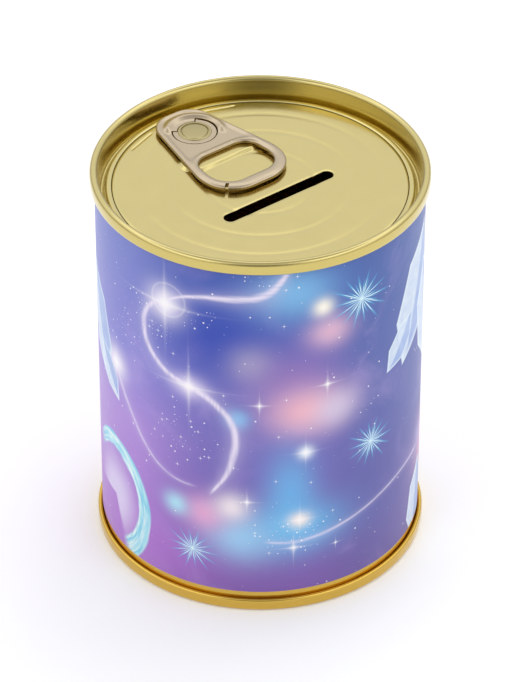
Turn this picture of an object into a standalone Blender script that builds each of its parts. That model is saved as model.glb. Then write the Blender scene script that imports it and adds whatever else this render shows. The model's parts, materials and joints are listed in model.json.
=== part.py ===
"""Tin money box: a three-piece tinplate can closed by a ring-pull end with a coin slot.

The can stands on its bottom seam, centred on the Z axis, with +Z up. The coin slot lies
along X. The pull tab's rivet is on the +Y side and its ring points towards -Y.
Units are metres.
"""
import math

import bmesh
import bpy

# ---------------------------------------------------------------- driving dimensions
CAN_HEIGHT = 0.0970
SEAM_RADIUS = 0.0381          # outermost radius, over either double seam
SEAM_HEIGHT = 0.0031
PLATE = 0.00028               # lacquered tinplate
SEAM_GAP = 0.00012            # between two layers of a double seam
SEGMENTS = 44                 # facets round the can
SEAM_ARC_STEPS = 5            # odd, so the crest of a seam ends in a flat band
COMPOUND_ROOM = 0.00033       # extra space under a seam's crest for the sealing compound
COVER_HOOK_ROOM = 0.00015     # the cover hook stops this far below the body's bend
BODY_HOOK_ROOM = 0.00032      # the body hook stops this far above the end's fold

PANEL_TOP = CAN_HEIGHT - 0.0045
COUNTERSINK_LOW = CAN_HEIGHT - 0.00625
SCORE_RADIUS = 0.0332         # the score line round the tear panel
SCORE_GAP = 0.00030
SHOULDER_RADIUS = 0.0341      # where the plate turns down into the countersink
GROOVE_RADIUS = 0.03535       # middle of the countersink groove
GROOVE_BEND = 0.00055
GROOVE_STEPS = 4
BEAD_RADII = (0.0280, 0.0208)
BEAD_DEPTH = 0.00018
BEAD_HALF_WIDTH = 0.0005

SLOT_LENGTH = 0.0304
SLOT_WIDTH = 0.0031
SLOT_Y = -0.0067

PAD_LENGTH = 0.0200              # the raised bar under the finger hole
PAD_WIDTH = 0.0062
PAD_RISE = 0.00042
PAD_Y = 0.0150

RIVET_Y = 0.0240
RIVET_SHANK_RADIUS = 0.0020
RIVET_HEAD_RADIUS = 0.0039
RIVET_HEAD_HEIGHT = 0.00105
RIVET_FLANGE_RADIUS = 0.0025
RIVET_FLANGE_HEIGHT = 0.00050
RIVET_CLEARANCE = 0.00015
RIVET_SEGMENTS = 24

TONGUE_RADIUS = 0.0048        # the round end of the tongue, about the rivet
TONGUE_HALF_WIDTH = 0.0036    # the strip that runs from it to the nose
TONGUE_END_Y = 0.03280

TAB_AXIS_Y = 0.03300
TAB_NOSE_Y = 0.0331
TAB_END_Y = -0.0013
TAB_THICKNESS = 0.0014
TAB_EDGE = 0.00045            # rounding of the tab's edges
TAB_FLOAT = 0.00052           # underside of the nose above the panel
TAB_TILT = math.radians(0.1)  # the ring end stands a little higher than the nose
TAB_OPENING_RADIUS = 0.0053   # round opening about the rivet
TAB_WEB = 0.00040             # sheet left above the pocket in the underside
ARC_STEP = math.radians(15)   # fineness of rounded corners

PEEL_AXIS_Y = -SCORE_RADIUS

LABEL_BOTTOM = 0.0048
LABEL_TOP = 0.0934
LABEL_THICKNESS = 0.00009
LABEL_GAP = 0.00004

COMPOUND_HALF_WIDTH = 0.00026
COMPOUND_HEIGHT = 0.00022
COMPOUND_LIFT = 0.00008

# ---------------------------------------------------------------- worked-out sizes
LAYER = PLATE + SEAM_GAP
HALF_PLATE = PLATE / 2
SEAM_WALL_R = SEAM_RADIUS - HALF_PLATE        # centre lines of the seam's five layers
BODY_HOOK_R = SEAM_WALL_R - LAYER
COVER_HOOK_R = BODY_HOOK_R - LAYER
BODY_WALL_R = COVER_HOOK_R - LAYER
BODY_OUTER_R = BODY_WALL_R + HALF_PLATE
CREST_R = 2 * LAYER                           # centre-line radius of the seam's crest
CREST_FLAT = math.sin(math.pi * (SEAM_ARC_STEPS // 2) / SEAM_ARC_STEPS)
CREST_Z = CAN_HEIGHT - HALF_PLATE - CREST_R * CREST_FLAT
FOLD_Z = CAN_HEIGHT - SEAM_HEIGHT + HALF_PLATE + LAYER
BODY_BEND_Z = CREST_Z - COMPOUND_ROOM
COVER_HOOK_TIP_Z = BODY_BEND_Z - COVER_HOOK_ROOM
BODY_HOOK_TIP_Z = FOLD_Z + BODY_HOOK_ROOM
PANEL_MID = PANEL_TOP - HALF_PLATE
TONGUE_BASE = PANEL_TOP + RIVET_CLEARANCE
TONGUE_TOP = TONGUE_BASE + PLATE
TAB_AXIS_Z = TONGUE_BASE + HALF_PLATE

# ---------------------------------------------------------------- colours
GOLD_LACQUER = (0.67, 0.58, 0.27)
DEEP_GOLD = (0.62, 0.44, 0.12)
TAB_BEIGE = (0.62, 0.52, 0.38)
LABEL_BLUE = (0.11, 0.14, 0.47)
COMPOUND_GREY = (0.30, 0.30, 0.28)


# ---------------------------------------------------------------- scene helpers
def clear_scene():
    for item in list(bpy.data.objects):
        bpy.data.objects.remove(item, do_unlink=True)


def new_collection(name):
    group = bpy.data.collections.new(name)
    bpy.context.scene.collection.children.link(group)
    return group


def make_material(name, colour, roughness, metallic):
    material = bpy.data.materials.new(name)
    material.use_nodes = True
    shader = material.node_tree.nodes["Principled BSDF"]
    shader.inputs["Base Color"].default_value = (*colour, 1.0)
    shader.inputs["Roughness"].default_value = roughness
    shader.inputs["Metallic"].default_value = metallic
    return material


def add_part(name, mesh, material, origin=(0, 0, 0), parent=None):
    """Put a mesh in the scene as a named sub-part; origin is in world coordinates."""
    part = bpy.data.objects.new(name, mesh)
    part.data.materials.append(material)
    PARTS.objects.link(part)
    place(part, origin, parent)
    return part


def place(item, origin, parent):
    base = parent.location if parent else (0, 0, 0)
    item.parent = parent
    item.location = [value - start for value, start in zip(origin, base)]


def add_axis(name, origin):
    """An empty that marks a joint's axis and carries the pieces that turn about it."""
    axis = bpy.data.objects.new(name, None)
    axis.empty_display_size = 0.005
    PARTS.objects.link(axis)
    axis.location = origin
    return axis


# ---------------------------------------------------------------- shape helpers
def arc(centre, radius, start, end, steps):
    """Points on an arc in the plane of the profile, angles in degrees."""
    points = []
    for step in range(steps + 1):
        angle = math.radians(start + (end - start) * step / steps)
        points.append((centre[0] + radius * math.cos(angle),
                       centre[1] + radius * math.sin(angle)))
    return points


def profile_mesh(name, points, closed):
    """A row of edges in the XZ plane, ready for a Screw modifier."""
    count = len(points)
    edges = [(i, i + 1) for i in range(count - 1)]
    if closed:
        edges.append((count - 1, 0))
    mesh = bpy.data.meshes.new(name)
    mesh.from_pydata([(r, 0, z) for r, z in points], edges, [])
    return mesh


def turn(part, segments):
    screw = part.modifiers.new("Turn", "SCREW")
    screw.axis = "Z"
    screw.angle = 2 * math.pi
    screw.steps = segments
    screw.render_steps = segments
    screw.use_merge_vertices = True
    screw.merge_threshold = 0.00001
    screw.use_smooth_shade = True


def turned_sheet(name, centre_line, material, parent=None):
    """Pressed plate: a centre line turned about Z, then given the plate's thickness."""
    mesh = profile_mesh(name, centre_line, closed=False)
    part = add_part(name, mesh, material, parent=parent)
    turn(part, SEGMENTS)
    shell = part.modifiers.new("Plate", "SOLIDIFY")
    shell.thickness = PLATE
    shell.offset = 0
    shell.use_even_offset = True
    return part


def turned_ring(name, section, material):
    """A closed section turned about Z."""
    part = add_part(name, profile_mesh(name, section, closed=True), material)
    turn(part, SEGMENTS)
    return part


def rounded_outline(corners):
    """A closed outline from (x, y, fillet radius) corners, with arcs at the corners."""
    points = []
    count = len(corners)
    for index in range(count):
        x, y, radius = corners[index]
        before = unit_vector((x, y), corners[index - 1])
        after = unit_vector((x, y), corners[(index + 1) % count])
        cosine = before[0] * after[0] + before[1] * after[1]
        half_angle = math.acos(max(-1, min(1, cosine))) / 2
        bisector = unit_vector((0, 0), (before[0] + after[0], before[1] + after[1]))
        reach = radius / math.sin(half_angle)
        centre = (x + bisector[0] * reach, y + bisector[1] * reach)
        start = tangent_angle(centre, (x, y), before, radius / math.tan(half_angle))
        end = tangent_angle(centre, (x, y), after, radius / math.tan(half_angle))
        sweep = (end - start + math.pi) % (2 * math.pi) - math.pi
        steps = max(2, round(abs(sweep) / ARC_STEP))
        points += arc(centre, radius, math.degrees(start),
                      math.degrees(start + sweep), steps)
    return points


def unit_vector(start, end):
    dx = end[0] - start[0]
    dy = end[1] - start[1]
    length = math.hypot(dx, dy)
    return (dx / length, dy / length)


def tangent_angle(centre, corner, direction, distance):
    x = corner[0] + direction[0] * distance
    y = corner[1] + direction[1] * distance
    return math.atan2(y - centre[1], x - centre[0])


def mirrored(half):
    """Corners on the +X side, then the same corners on the -X side, back to the start."""
    return half + [(-x, y, radius) for x, y, radius in reversed(half)]


def plate_mesh(name, outlines, thickness, edge=0.0):
    """A flat plate centred on Z = 0; outlines inside the first one become holes."""
    curve = bpy.data.curves.new(name + "_outline", "CURVE")
    curve.dimensions = "2D"
    curve.fill_mode = "BOTH"
    curve.extrude = thickness / 2 - edge
    curve.bevel_depth = edge
    curve.bevel_resolution = 1
    curve.offset = -edge
    for outline in outlines:
        spline = curve.splines.new("POLY")
        spline.points.add(len(outline) - 1)
        for point, (x, y) in zip(spline.points, outline):
            point.co = (x, y, 0, 1)
        spline.use_cyclic_u = True
    holder = bpy.data.objects.new(name + "_outline", curve)
    PARTS.objects.link(holder)
    graph = bpy.context.evaluated_depsgraph_get()
    mesh = bpy.data.meshes.new_from_object(holder.evaluated_get(graph))
    bpy.data.objects.remove(holder)
    weld(mesh)
    mesh.name = name
    return mesh


def weld(mesh):
    shape = bmesh.new()
    shape.from_mesh(mesh)
    bmesh.ops.remove_doubles(shape, verts=shape.verts, dist=0.000001)
    bmesh.ops.recalc_face_normals(shape, faces=shape.faces)
    shape.to_mesh(mesh)
    shape.free()


def combine(part, other_mesh, origin, operation="UNION"):
    """Fuse a closed mesh, placed at a world position, with a part."""
    other = bpy.data.objects.new(other_mesh.name, other_mesh)
    CUTTERS.objects.link(other)
    other.location = origin
    other.hide_render = True
    other.display_type = "WIRE"
    boolean = part.modifiers.new(operation.title(), "BOOLEAN")
    boolean.operation = operation
    boolean.object = other


def cut(part, cutter_mesh, origin):
    """Cut a closed mesh, placed at a world position, out of a part."""
    combine(part, cutter_mesh, origin, "DIFFERENCE")


def circle(centre_y, radius, segments):
    """A full circle on the Y axis; the doubled end point is left out."""
    return arc((0, centre_y), radius, 0, 360, segments)[:-1]


# ---------------------------------------------------------------- seams and ends
def seam_profile():
    """An end's plate through the top seam: cover hook, seam wall, crest, chuck wall."""
    hook_tip = [(COVER_HOOK_R, COVER_HOOK_TIP_Z)]
    fold = arc((BODY_HOOK_R, FOLD_Z), LAYER, 180, 360, SEAM_ARC_STEPS)
    crest = arc((COVER_HOOK_R, CREST_Z), CREST_R, 0, 180, SEAM_ARC_STEPS)
    return hook_tip + fold + crest


def countersink_profile():
    """From the chuck wall through the countersink groove up to the panel's level."""
    groove_z = COUNTERSINK_LOW + HALF_PLATE + GROOVE_BEND
    groove = arc((GROOVE_RADIUS, groove_z), GROOVE_BEND, 0, -180, GROOVE_STEPS)
    shoulder = (SHOULDER_RADIUS, PANEL_MID)
    shoulder_bend = (SHOULDER_RADIUS + PLATE, PANEL_MID - PLATE)
    return groove + [shoulder_bend, shoulder]


def flipped(points):
    """The same profile at the bottom of the can."""
    return [(r, CAN_HEIGHT - z) for r, z in points]


def build_top_end_ring():
    inner_edge = (SCORE_RADIUS + SCORE_GAP / 2, PANEL_MID)
    line = seam_profile() + countersink_profile() + [inner_edge]
    return turned_sheet("top_end_ring", line, MATERIALS["gold_lacquer"])


def build_bottom_end():
    centre = (0.0, PANEL_MID)
    line = seam_profile() + countersink_profile() + [centre]
    return turned_sheet("bottom_end", flipped(line), MATERIALS["deep_gold"])


def body_end_profile():
    """The can body's plate in the top seam, from its hook over to its wall."""
    bend = arc((COVER_HOOK_R, BODY_BEND_Z), LAYER, 0, 180, SEAM_ARC_STEPS)
    return [(BODY_HOOK_R, BODY_HOOK_TIP_Z)] + bend


def build_body():
    top = body_end_profile()
    bottom = flipped(reversed(top))
    return turned_sheet("body_shell", top + bottom, MATERIALS["deep_gold"])


def build_compound(name, place_in_can):
    """The sealing compound that lies under the crest of a seam."""
    low = BODY_BEND_Z + LAYER + HALF_PLATE + COMPOUND_LIFT
    high = low + COMPOUND_HEIGHT
    outer = COVER_HOOK_R + COMPOUND_HALF_WIDTH
    inner = COVER_HOOK_R - COMPOUND_HALF_WIDTH
    section = [(outer, high), (outer, low), (inner, low), (inner, high)]
    if place_in_can == "bottom":
        section = list(reversed(flipped(section)))
    return turned_ring(name, section, MATERIALS["sealing_compound"])


def build_label():
    inner = BODY_OUTER_R + LABEL_GAP
    outer = inner + LABEL_THICKNESS
    section = [(outer, LABEL_TOP), (outer, LABEL_BOTTOM),
               (inner, LABEL_BOTTOM), (inner, LABEL_TOP)]
    return turned_ring("label_wrap", section, MATERIALS["printed_label"])


# ---------------------------------------------------------------- tear panel and tab
def build_tear_panel(parent):
    line = [(SCORE_RADIUS - SCORE_GAP / 2, PANEL_MID)]
    for radius in BEAD_RADII:
        line += [(radius + BEAD_HALF_WIDTH, PANEL_MID),
                 (radius, PANEL_MID - BEAD_DEPTH),
                 (radius - BEAD_HALF_WIDTH, PANEL_MID)]
    line.append((0.0, PANEL_MID))
    panel = turned_sheet("tear_panel", line, MATERIALS["gold_lacquer"], parent)
    press_finger_pad(panel)
    half_slot = SLOT_LENGTH / 2
    half_width = SLOT_WIDTH / 2
    end_radius = half_width * 0.999
    slot = rounded_outline(mirrored([(half_slot, half_width, end_radius),
                                     (half_slot, -half_width, end_radius)]))
    cut(panel, plate_mesh("coin_slot_cutter", [slot], 10 * PLATE),
        (0, SLOT_Y, PANEL_MID))
    hole = circle(0, RIVET_SHANK_RADIUS + RIVET_CLEARANCE, RIVET_SEGMENTS)
    cut(panel, plate_mesh("rivet_hole_cutter", [hole], 10 * PLATE),
        (0, RIVET_Y, PANEL_MID))
    return panel


def press_finger_pad(panel):
    """The raised bar under the finger hole; it is pressed up, so it is hollow below."""
    outer = pad_outline(0.0)
    inner = pad_outline(PLATE)
    raised = plate_mesh("finger_pad", [outer], PAD_RISE + HALF_PLATE)
    hollow = plate_mesh("finger_pad_hollow", [inner], PAD_RISE + HALF_PLATE)
    middle = PANEL_MID + (PAD_RISE + HALF_PLATE) / 2
    combine(panel, raised, (0, PAD_Y, middle))
    cut(panel, hollow, (0, PAD_Y, middle - PLATE))


def pad_outline(inset):
    half_length = PAD_LENGTH / 2 - inset
    half_width = PAD_WIDTH / 2 - inset
    radius = half_width * 0.9
    return rounded_outline(mirrored([(half_length, half_width, radius),
                                     (half_length, -half_width, radius)]))


def build_rivet(parent):
    """The rivet that stakes the tab's tongue to the panel."""
    head_low = TONGUE_TOP + SEAM_GAP
    head_high = head_low + RIVET_HEAD_HEIGHT
    flange_high = PANEL_TOP - PLATE - SEAM_GAP
    flange_low = flange_high - RIVET_FLANGE_HEIGHT
    corner = 0.0003
    head = arc((RIVET_HEAD_RADIUS - corner, head_high - corner), corner, 90, 0, 3)
    section = [(0.0, head_high), *head, (RIVET_HEAD_RADIUS, head_low),
               (RIVET_SHANK_RADIUS, head_low), (RIVET_SHANK_RADIUS, flange_high),
               (RIVET_FLANGE_RADIUS, flange_high), (RIVET_FLANGE_RADIUS, flange_low),
               (0.0, flange_low)]
    rivet = add_part("tab_rivet", profile_mesh("tab_rivet", section, closed=False),
                     MATERIALS["gold_lacquer"], (0, RIVET_Y, 0), parent)
    turn(rivet, RIVET_SEGMENTS)
    return rivet


def build_tongue(parent):
    """The tongue cut from the tab's web: a round end held by the rivet, and a strip
    that runs under the nose, where the tab bends when it is lifted."""
    join = math.degrees(math.asin(TONGUE_HALF_WIDTH / TONGUE_RADIUS))
    outline = arc((0, RIVET_Y), TONGUE_RADIUS, 90 + join, 450 - join, 20)
    outline += [(TONGUE_HALF_WIDTH, TONGUE_END_Y), (-TONGUE_HALF_WIDTH, TONGUE_END_Y)]
    hole = circle(RIVET_Y, RIVET_SHANK_RADIUS + RIVET_CLEARANCE, RIVET_SEGMENTS)
    mesh = plate_mesh("tab_tongue", [outline, hole], PLATE)
    return add_part("tab_tongue", mesh, MATERIALS["tab_metal"],
                    (0, 0, TONGUE_BASE + HALF_PLATE), parent)


def tab_outline():
    half = [(0.0061, TAB_NOSE_Y, 0.0058),
            (0.0073, 0.0270, 0.0100),
            (0.01095, 0.0085, 0.0110),
            (0.01020, TAB_END_Y, 0.0084)]
    return rounded_outline(mirrored(half))


def finger_hole():
    half = [(0.0078, 0.0147, 0.0042),
            (0.0084, 0.0080, 0.0060),
            (0.0078, 0.0021, 0.0052)]
    return rounded_outline(mirrored(half))


def tab_pocket():
    """The hollow behind the web, between the curled edges."""
    half = [(0.0038, 0.0316, 0.0018),
            (0.0058, 0.0285, 0.0040),
            (0.0078, 0.0172, 0.0016)]
    return rounded_outline(mirrored(half))


def build_pull_tab(parent):
    """The ring-pull, with its origin on the axis that it lifts about."""
    opening = circle(RIVET_Y, TAB_OPENING_RADIUS, RIVET_SEGMENTS)
    outlines = [tab_outline(), finger_hole(), opening]
    mesh = plate_mesh("pull_tab", outlines, TAB_THICKNESS, TAB_EDGE)
    rest_height = PANEL_TOP + TAB_FLOAT + TAB_THICKNESS / 2 - TAB_AXIS_Z
    for vertex in mesh.vertices:
        vertex.co.y -= TAB_AXIS_Y
        vertex.co.z += rest_height
    tab = add_part("pull_tab", mesh, MATERIALS["tab_metal"],
                   (0, TAB_AXIS_Y, TAB_AXIS_Z), parent)
    tab.rotation_euler.x = -TAB_TILT
    pocket = plate_mesh("tab_pocket_cutter", [tab_pocket()], TAB_THICKNESS)
    for vertex in pocket.vertices:
        vertex.co.y -= TAB_AXIS_Y
        vertex.co.z += rest_height - TAB_WEB
    cut(tab, pocket, (0, TAB_AXIS_Y, TAB_AXIS_Z))
    CUTTERS.objects["tab_pocket_cutter"].rotation_euler.x = -TAB_TILT
    return tab


# ---------------------------------------------------------------- assembly
clear_scene()
PARTS = new_collection("tin_money_box")
CUTTERS = new_collection("cutters")
MATERIALS = {
    "gold_lacquer": make_material("gold_lacquer", GOLD_LACQUER, 0.35, 0.9),
    "deep_gold": make_material("deep_gold", DEEP_GOLD, 0.30, 0.95),
    "tab_metal": make_material("tab_metal", TAB_BEIGE, 0.40, 0.8),
    "printed_label": make_material("printed_label", LABEL_BLUE, 0.30, 0.0),
    "sealing_compound": make_material("sealing_compound", COMPOUND_GREY, 0.80, 0.0),
}

build_body()
build_label()
build_bottom_end()
build_compound("bottom_seam_compound", "bottom")
build_top_end_ring()
build_compound("top_seam_compound", "top")

peel_axis = add_axis("panel_peel_axis", (0, PEEL_AXIS_Y, PANEL_TOP))
build_tear_panel(peel_axis)
build_rivet(peel_axis)
build_tongue(peel_axis)
build_pull_tab(peel_axis)

CUTTERS.hide_render = True
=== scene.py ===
import json
import math

import bmesh
import bpy
from mathutils import Euler, Matrix, Vector


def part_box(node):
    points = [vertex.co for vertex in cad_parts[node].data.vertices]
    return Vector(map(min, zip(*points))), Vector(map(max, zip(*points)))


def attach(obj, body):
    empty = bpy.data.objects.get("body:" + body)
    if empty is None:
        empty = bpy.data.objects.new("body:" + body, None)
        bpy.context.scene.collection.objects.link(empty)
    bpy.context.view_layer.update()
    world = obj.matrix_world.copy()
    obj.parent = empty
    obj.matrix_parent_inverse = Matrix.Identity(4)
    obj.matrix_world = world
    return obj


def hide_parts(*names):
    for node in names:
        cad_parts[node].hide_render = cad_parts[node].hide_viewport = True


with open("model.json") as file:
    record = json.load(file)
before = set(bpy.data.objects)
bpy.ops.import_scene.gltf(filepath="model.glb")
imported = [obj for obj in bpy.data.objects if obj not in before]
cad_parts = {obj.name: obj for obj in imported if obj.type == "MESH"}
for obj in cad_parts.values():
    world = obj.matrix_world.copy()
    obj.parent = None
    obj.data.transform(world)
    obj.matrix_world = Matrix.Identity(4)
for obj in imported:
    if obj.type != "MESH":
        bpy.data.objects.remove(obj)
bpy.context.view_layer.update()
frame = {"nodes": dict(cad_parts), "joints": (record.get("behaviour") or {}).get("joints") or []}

MM = 0.001
STEPS = 192                  # facets round the can

# ---------------------------------------------------------------- sizes read from the frame
RING_LOW, RING_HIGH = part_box("top_end_ring")
PANEL_LOW, PANEL_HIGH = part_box("tear_panel")
LABEL_LOW, LABEL_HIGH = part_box("label_wrap")
TONGUE_LOW, TONGUE_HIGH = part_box("tab_tongue")
RIVET_LOW, RIVET_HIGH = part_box("tab_rivet")
JOINTS = {joint["name"]: joint for joint in frame["joints"]}

CAN_HEIGHT = RING_HIGH.z
SEAM_RADIUS = RING_HIGH.x
PAD_RISE = 0.42 * MM         # height of the raised bar under the finger hole
PANEL_TOP = PANEL_HIGH.z - PAD_RISE
PANEL_RADIUS = PANEL_HIGH.x
LABEL_RADIUS = LABEL_HIGH.x
RIVET_Y = (RIVET_LOW.y + RIVET_HIGH.y) / 2
TAB_AXIS = Vector(JOINTS["tab_lift"]["pos_m"])

# ---------------------------------------------------------------- sizes of the fine shapes
PLATE = 0.28 * MM
LAYER = 0.40 * MM            # plate and gap in a double seam
HALF_PLATE = PLATE / 2
SEAM_HEIGHT = 3.1 * MM
SEAM_WALL_R = SEAM_RADIUS - HALF_PLATE
BODY_HOOK_R = SEAM_WALL_R - LAYER
COVER_HOOK_R = BODY_HOOK_R - LAYER
CREST_R = 2 * LAYER
CREST_Z = CAN_HEIGHT - HALF_PLATE - CREST_R
FOLD_Z = CAN_HEIGHT - SEAM_HEIGHT + HALF_PLATE + LAYER
BODY_BEND_Z = CREST_Z - 0.37 * MM
PANEL_MID = PANEL_TOP - HALF_PLATE
SCORE_GAP = 0.30 * MM
GROOVE_R = 35.35 * MM
GROOVE_BEND = 0.55 * MM
SHOULDER_R = 34.1 * MM
PANEL_RINGS = (12.3 * MM, 20.8 * MM, 28.0 * MM)
PAD_Y = 15.0 * MM            # the raised bar
PAD_HALF_LENGTH = 10.0 * MM
PAD_HALF_WIDTH = 3.1 * MM
RIVET_HOLE_R = 2.15 * MM

TAB_FLOAT = 0.36 * MM        # underside of the nose above the panel
TAB_TILT = math.radians(0.1)
TAB_THICKNESS = 1.3 * MM
TAB_EDGE = 0.62 * MM         # rounding of the curled edges
WEB_SINK = 0.36 * MM         # the tab's web below its curled edges
WEB_THICKNESS = 0.34 * MM
RIB_RADIUS = 6.25 * MM       # the rib pressed round the rivet
RIB_HEIGHT = 0.58 * MM
RIB_HALF_WIDTH = 0.95 * MM
SLIT_INNER_R = 5.00 * MM     # the C-shaped slit round the rivet
SLIT_OUTER_R = 5.25 * MM
SLIT_START = 142             # degrees; the slit runs from here past 270 to SLIT_END
SLIT_END = 413

SLOT_HALF_LENGTH = 15.2 * MM
SLOT_HALF_WIDTH = 1.55 * MM
SLOT_Y = -6.7 * MM

ELEVATION = math.radians(36.28)
ART_TURN = math.radians(38.2)  # turns the middle of the artwork to face the camera


# ================================================================ camera, floor and light
def add_camera():
    """A long lens, above the can and turned to the left of the slot's front."""
    data = bpy.data.cameras.new("camera")
    data.lens = 222.0
    data.sensor_width = 36.0
    data.clip_end = 10
    camera = bpy.data.objects.new("camera", data)
    bpy.context.scene.collection.objects.link(camera)
    azimuth = -ART_TURN
    distance = 0.9641
    target = Vector((-0.00075, 0.00059, 0.04869))
    back = Vector((math.sin(azimuth) * math.cos(ELEVATION),
                   -math.cos(azimuth) * math.cos(ELEVATION),
                   math.sin(ELEVATION)))
    camera.location = target + back * distance
    camera.rotation_euler = (math.pi / 2 - ELEVATION, 0, azimuth)
    bpy.context.scene.camera = camera


def add_key_light():
    """A soft box above and to the right that faces the can. It doesn't show in gloss."""
    data = bpy.data.lights.new("key", "AREA")
    data.shape = "SQUARE"
    data.size = 0.35
    data.energy = 1.1
    light = bpy.data.objects.new("key", data)
    light.location = (0.30, 0.10, 0.80)
    aim = Vector((0, 0, CAN_HEIGHT / 2)) - light.location
    light.rotation_euler = aim.to_track_quat("-Z", "Y").to_euler()
    light.visible_glossy = False
    bpy.context.scene.collection.objects.link(light)


# Brightness of the studio's walls against the height of the direction (its z part): dim
# near the floor, plain at the middle, a bright strip above that, dimmer overhead.
SKY_TONES = [(-1, 0.60), (-0.1, 0.60), (0.15, 0.62), (0.36, 0.85), (0.50, 1.0), (0.64, 1.0),
             (0.72, 1.55), (0.80, 1.60), (0.87, 0.75), (1.0, 0.55), (2, 0.55)]


def add_walls():
    """Bright walls all round, with a dim patch behind the lens that the metal reflects."""
    world = bpy.data.worlds.new("studio")
    world.use_nodes = True
    bpy.context.scene.world = world
    nodes = Nodes(world.node_tree)
    direction = nodes.add("ShaderNodeTexCoord").outputs["Generated"]
    front = Vector((-math.sin(ART_TURN), -math.cos(ART_TURN), 0))
    toward_front = nodes.vector("DOT_PRODUCT", direction, front)
    behind_lens = front * math.cos(ELEVATION) + Vector((0, 0, math.sin(ELEVATION)))
    toward_lens = nodes.vector("DOT_PRODUCT", direction, behind_lens)
    upward = nodes.split(direction)[2]
    walls = nodes.step(toward_front, -0.2, 0.6, (0.95, 1.20))
    height_tone = nodes.curve(upward, SKY_TONES, -1, 2)
    dark_patch = nodes.step(toward_lens, 0.84, 0.985, (1.0, 0.22))
    brightness = nodes.math("MULTIPLY", nodes.math("MULTIPLY", walls, height_tone), dark_patch)
    background = world.node_tree.nodes["Background"]
    background.inputs["Color"].default_value = (1.0, 1.0, 1.0, 1)
    nodes.feed(background.inputs["Strength"], brightness)


def add_floor():
    bpy.ops.mesh.primitive_plane_add(size=6)
    floor = bpy.context.object
    floor.name = "floor"
    floor.data.materials.append(floor_material())


def floor_material():
    material = bpy.data.materials.new("floor")
    material.use_nodes = True
    shader = material.node_tree.nodes["Principled BSDF"]
    shader.inputs["Base Color"].default_value = (0.96, 0.96, 0.96, 1)
    shader.inputs["Emission Color"].default_value = (1.0, 1.0, 1.0, 1)
    shader.inputs["Emission Strength"].default_value = 0.14
    shader.inputs["Roughness"].default_value = 0.9
    return material


# ================================================================ shape helpers
def arc(centre, radius, start, end, steps):
    """Points along an arc between two angles in degrees."""
    points = []
    for step in range(steps + 1):
        angle = math.radians(start + (end - start) * step / steps)
        points.append((centre[0] + radius * math.cos(angle),
                       centre[1] + radius * math.sin(angle)))
    return points


def smooth_step(value, low, high):
    """0 at low and 1 at high, easing at both ends; low may be the larger."""
    t = max(0.0, min(1.0, (value - low) / (high - low)))
    return t * t * (3 - 2 * t)


def add_object(name, mesh):
    piece = bpy.data.objects.new(name, mesh)
    bpy.context.scene.collection.objects.link(piece)
    return piece


def profile_mesh(name, points, closed=False):
    count = len(points)
    edges = [(i, i + 1) for i in range(count - 1)]
    if closed:
        edges.append((count - 1, 0))
    mesh = bpy.data.meshes.new(name)
    mesh.from_pydata([(r, 0, z) for r, z in points], edges, [])
    return mesh


def turned(name, points, closed=False, steps=STEPS):
    """A profile turned about Z."""
    piece = add_object(name, profile_mesh(name, points, closed))
    screw = piece.modifiers.new("Turn", "SCREW")
    screw.axis = "Z"
    screw.angle = 2 * math.pi
    screw.steps = steps
    screw.render_steps = steps
    screw.use_merge_vertices = True
    screw.merge_threshold = 0.000001
    screw.use_smooth_shade = True
    return piece


def thicken(piece, thickness):
    shell = piece.modifiers.new("Plate", "SOLIDIFY")
    shell.thickness = thickness
    shell.offset = 0
    shell.use_even_offset = True


def apply_modifiers(piece):
    graph = bpy.context.evaluated_depsgraph_get()
    mesh = bpy.data.meshes.new_from_object(piece.evaluated_get(graph))
    piece.modifiers.clear()
    piece.data = mesh


def shade(piece, angle=40):
    piece.data.shade_smooth()
    piece.data.set_sharp_from_angle(angle=math.radians(angle))


def make_sheet(piece, thickness=PLATE):
    thicken(piece, thickness)
    apply_modifiers(piece)
    shade(piece)


def rounded_outline(corners, arc_step=math.radians(6)):
    """A closed outline from (x, y, fillet radius) corners, with arcs at the corners."""
    points = []
    count = len(corners)
    for index in range(count):
        x, y, radius = corners[index]
        corner = Vector((x, y))
        before = (Vector(corners[index - 1][:2]) - corner).normalized()
        after = (Vector(corners[(index + 1) % count][:2]) - corner).normalized()
        half_angle = before.angle(after) / 2
        centre = corner + (before + after).normalized() * (radius / math.sin(half_angle))
        reach = radius / math.tan(half_angle)
        first = corner + before * reach - centre
        last = corner + after * reach - centre
        start = math.atan2(first.y, first.x)
        end = math.atan2(last.y, last.x)
        sweep = (end - start + math.pi) % (2 * math.pi) - math.pi
        steps = max(2, round(abs(sweep) / arc_step))
        points += arc(centre, radius, math.degrees(start), math.degrees(start + sweep), steps)
    return points


def mirrored(half):
    return half + [(-x, y, radius) for x, y, radius in reversed(half)]


def circle(centre_y, radius, steps=72):
    return arc((0, centre_y), radius, 0, 360, steps)[:-1]


def plate(name, outlines, thickness, edge=0.0, resolution=3):
    """A flat plate centred on Z = 0; outlines inside the first one become holes."""
    curve = bpy.data.curves.new(name, "CURVE")
    curve.dimensions = "2D"
    curve.fill_mode = "BOTH"
    curve.extrude = thickness / 2 - edge
    curve.bevel_depth = edge
    curve.bevel_resolution = resolution
    curve.offset = -edge
    for outline in outlines:
        spline = curve.splines.new("POLY")
        spline.points.add(len(outline) - 1)
        for point, (x, y) in zip(spline.points, outline):
            point.co = (x, y, 0, 1)
        spline.use_cyclic_u = True
    holder = add_object(name + "_outline", curve)
    graph = bpy.context.evaluated_depsgraph_get()
    mesh = bpy.data.meshes.new_from_object(holder.evaluated_get(graph))
    bpy.data.objects.remove(holder)
    weld(mesh)
    return add_object(name, mesh)


def weld(mesh):
    shape = bmesh.new()
    shape.from_mesh(mesh)
    bmesh.ops.remove_doubles(shape, verts=shape.verts, dist=0.0000005)
    bmesh.ops.recalc_face_normals(shape, faces=shape.faces)
    shape.to_mesh(mesh)
    shape.free()


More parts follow.
